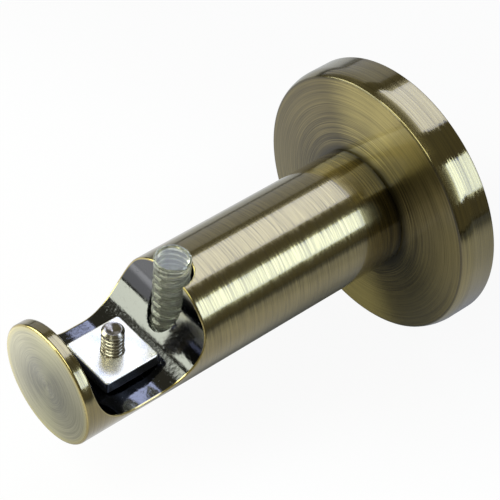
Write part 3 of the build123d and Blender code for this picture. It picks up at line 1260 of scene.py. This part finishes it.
@dataclass
class PoleScrews:
    """The steel clamp screw in the plate and the clear plastic lock screw behind the pole."""

    clamp_y: float = SADDLE_Y
    clamp_r: float = CLAMP_HIGH[0]
    clamp_low: float = CLAMP_LOW[2]
    clamp_top: float = CLAMP_HIGH[2]
    clamp_chamfer: float = 0.6
    clamp_key: float = 2.5
    clamp_key_depth: float = 2.5
    clamp_cup_r: float = 1.4
    clamp_cup_floor_r: float = 0.05
    clamp_cup_depth: float = 0.9
    clamp_pitch: float = 1.0
    clamp_thread: float = 0.5
    clamp_segments: int = 72
    lock_y: float = LOCK_Y
    lock_r: float = LOCK_HIGH[0]
    lock_low: float = LOCK_LOW[2]
    lock_top: float = LOCK_HIGH[2]
    lock_point: float = 1.0
    lock_edge: float = 0.3
    lock_dish_r: float = 3.4
    lock_dish_floor_r: float = 3.2
    lock_dish_depth: float = 0.35
    lock_plain_top: float = 1.2
    lock_pitch: float = 2.75
    lock_thread: float = 0.65

    def _clamp(self) -> Screw:
        """Sizes the clamp screw: a key socket in its foot, chamfered ends and a hollow top.

        Returns:
            The screw to build.
        """
        end_r = self.clamp_r - self.clamp_chamfer
        side = (self.clamp_low + self.clamp_chamfer, self.clamp_top - self.clamp_chamfer)
        key_floor = (None, self.clamp_low + self.clamp_key_depth)
        cup_floor = (self.clamp_cup_floor_r, self.clamp_top - self.clamp_cup_depth)
        return Screw(
            "clamp_screw_threaded",
            self.clamp_y,
            self.clamp_r,
            foot=[key_floor, (None, self.clamp_low), (end_r, self.clamp_low)],
            head=[(end_r, self.clamp_top), (self.clamp_cup_r, self.clamp_top), cup_floor],
            side=side,
            thread=side,
            pitch=self.clamp_pitch,
            depth=self.clamp_thread,
            key=self.clamp_key,
            segments=self.clamp_segments,
        )

    def _lock(self) -> Screw:
        """Sizes the lock screw: a pointed foot, a broken top edge and a shallow dish in the top.

        Returns:
            The screw to build.
        """
        side_low = self.lock_low + self.lock_point
        top_r = self.lock_r - self.lock_edge
        dish_floor = (self.lock_dish_floor_r, self.lock_top - self.lock_dish_depth)
        return Screw(
            "lock_screw_threaded",
            self.lock_y,
            self.lock_r,
            foot=[(self.lock_r - self.lock_point, self.lock_low)],
            head=[(top_r, self.lock_top), (self.lock_dish_r, self.lock_top), dish_floor],
            side=(side_low, self.lock_top - self.lock_edge),
            thread=(side_low, self.lock_top - self.lock_plain_top),
            pitch=self.lock_pitch,
            depth=self.lock_thread,
        )

    def build(
        self, steel: Material, plastic: Material
    ) -> tuple[Object, Object]:
        """Makes both screws with their finishes, which the thread's nodes set.

        Args:
            steel: Finish of the clamp screw.
            plastic: Finish of the lock screw.

        Returns:
            Clamp screw and lock screw.
        """
        thread = RolledThread().make()
        return self._clamp().build(thread, steel), self._lock().build(thread, plastic)

    def dress(self, clamp: Object, lock: Object) -> None:
        """Puts each screw on its own body."""
        settle(clamp, Body.CLAMP_SCREW, Slot.STEEL, "clamp_grub_screw")
        settle(lock, Body.LOCK_SCREW, Slot.PLASTIC, "pole_lock_screw")


@dataclass
class HiddenFixings:
    """Wall cup, bolt, washer and rim screw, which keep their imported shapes."""

    zinc_nodes: tuple[str, ...] = ("wall_cup", "stem_washer")
    steel_nodes: tuple[str, ...] = ("stem_bolt", "rose_lock_screw")

    def dress(self, zinc: Material, steel: Material) -> None:
        """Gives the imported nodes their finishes.

        Args:
            zinc: Finish of the pressed pieces.
            steel: Finish of the screws.
        """
        for names, material in ((self.zinc_nodes, zinc), (self.steel_nodes, steel)):
            for name in names:
                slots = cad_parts[name].data.materials
                slots.clear()
                slots.append(material)
                LOG.info("%s: packed shape, %s", name, material.name)


# Studio


@dataclass
class Softbox:
    """Rectangular soft light, equally bright all over its face."""

    name: str
    stand: Matrix
    width: float
    height: float
    radiance: float
    colour: str

    @classmethod
    def beside(
        cls, name: str, angle: float, spread: float, y: Span, radiance: float, colour: str, off: float = 1.0
    ) -> "Softbox":
        """Stands a long box beside the stem's axis, facing it.

        Args:
            name: Light's name.
            angle: Degrees round the axis, from +X towards +Z.
            spread: Degrees that it fills as seen from the axis.
            y: Where it begins and ends along the axis.
            radiance: How bright its face is, where 1 is white.
            colour: Colour of its light.
            off: Distance from the axis.

        Returns:
            The box.
        """
        out = Vector((math.cos(math.radians(angle)), 0, math.sin(math.radians(angle))))
        along = Vector((0, 1, 0))
        place = out * off + along * (sum(y) / 2)
        stand = Matrix.Translation(place) @ Matrix((along, out.cross(along), out)).transposed().to_4x4()
        height = 2 * off * math.tan(math.radians(spread / 2))
        return cls(name, stand, y[1] - y[0], height, radiance, colour)

    @classmethod
    def facing(cls, name: str, place: Place, size: Span, radiance: float, colour: str) -> "Softbox":
        """Stands a box before the object, facing the rose's middle.

        Args:
            name: Light's name.
            place: Its centre.
            size: Its size across and upwards.
            radiance: How bright its face is, where 1 is white.
            colour: Colour of its light.

        Returns:
            The box.
        """
        centre = Vector(place)
        turn = (-centre).to_track_quat("-Z", "Y").to_matrix().to_4x4()
        return cls(name, Matrix.Translation(centre) @ turn, *size, radiance, colour)

    def build(self) -> None:
        """Hangs the light."""
        lamp = bpy.data.lights.new(self.name, "AREA")
        lamp.shape = "RECTANGLE"
        lamp.size, lamp.size_y = self.width, self.height
        lamp.color = linear(self.colour)[:3]
        # The face's brightness is the light's power over four times its area.
        lamp.energy = self.radiance * 4 * self.width * self.height
        light = bpy.data.objects.new(self.name, lamp)
        light.matrix_world = self.stand
        bpy.context.scene.collection.objects.link(light)


@dataclass
class Studio:
    """Pale floor, soft boxes, an even room and the camera at the photograph's angle."""

    floor_z: float = -0.0325
    floor_half: float = 8.0
    room: str = "#FFF8D0"
    room_strength: float = 0.15
    above: str = "#CFD9FF"
    right: str = "#CCDFFF"
    left: str = "#E4EAFF"
    front: str = "#FBFFE7"
    camera_place: Place = (0.22924, -0.26897, 0.33402)
    camera_right: Place = (0.648591, 0.758158, 0.067305)
    camera_up: Place = (-0.574413, 0.429538, 0.696816)
    lens: float = 152.84
    sensor: float = 36.0
    clip: Span = (0.01, 50.0)

    def build(self) -> None:
        """Builds floor, light and camera."""
        bpy.context.scene.view_settings.view_transform = "Standard"
        self._floor()
        self._room()
        long, short, broad, low = (0.22, 0.9), (0.28, 0.8), (0.95, 0.6), (1.0, 0.36)
        ahead, overhead = (-0.649, -0.696, 0.309), (-0.02, -0.559, 0.829)
        boxes = (
            Softbox.beside(
                "softbox_above", angle=102.9, spread=46.8, y=long, radiance=2.8, colour=self.above
            ),
            Softbox.beside(
                "softbox_right", angle=35.2, spread=30.4, y=short, radiance=4.5, colour=self.right
            ),
            Softbox.beside(
                "softbox_left", angle=160.0, spread=40.0, y=long, radiance=0.36, colour=self.left
            ),
            Softbox.facing("softbox_front", place=ahead, size=broad, radiance=3.5, colour=self.front),
            Softbox.facing("softbox_overhead", place=overhead, size=low, radiance=3.8, colour=self.front),
        )
        for box in boxes:
            box.build()
        self._camera()

    def _floor(self) -> None:
        """Lays the pale floor under the rose."""
        half, z = self.floor_half / MM, self.floor_z / MM
        points = np.array([(-half, -half, z), (half, -half, z), (half, half, z), (-half, half, z)])
        floor = to_object("floor", points, [(0, 1, 2, 3)])
        floor.data.materials.append(WhitePaper().make(self.floor_z))

    def _room(self) -> None:
        """Fills the room with an even, slightly warm light, white to the camera and through plastic."""
        world = bpy.data.worlds.new("room")
        bpy.context.scene.world = world
        tree = empty_tree(world)
        glow = {"Color": linear(self.room), "Strength": self.room_strength}
        light = add(tree, "ShaderNodeBackground", glow)
        white = add(tree, "ShaderNodeBackground", {"Color": linear(WHITE), "Strength": 1.0})
        ray = add(tree, "ShaderNodeLightPath").outputs
        direct = add(tree, MATH, [ray["Is Camera Ray"], ray["Is Transmission Ray"]], operation="MAXIMUM")
        both = add(tree, "ShaderNodeMixShader", [direct, light, white])
        add(tree, "ShaderNodeOutputWorld", {"Surface": both})

    def _camera(self) -> None:
        """Sets the camera that the photograph was taken with."""
        data = bpy.data.cameras.new("camera")
        data.lens, data.sensor_width = self.lens, self.sensor
        data.clip_start, data.clip_end = self.clip
        camera = bpy.data.objects.new("camera", data)
        right, up = Vector(self.camera_right), Vector(self.camera_up)
        turn = Matrix((right, up, right.cross(up))).transposed().to_4x4()
        camera.matrix_world = Matrix.Translation(Vector(self.camera_place)) @ turn
        bpy.context.scene.collection.objects.link(camera)
        bpy.context.scene.camera = camera


def main() -> None:
    """Builds every piece in order."""
    logging.basicConfig(level=logging.INFO, format="%(name)s %(message)s")
    zinc, steel, plastic = BrightZinc().make(), MachinedSteel().make(), ClearPlastic().make()
    for part in (Stem(), WallRose(), NutPlate()):
        part.dress(part.build())
    screws = PoleScrews()
    screws.dress(*screws.build(steel, plastic))
    HiddenFixings().dress(zinc, steel)
    Studio().build()


if __name__ == "__main__":
    main()
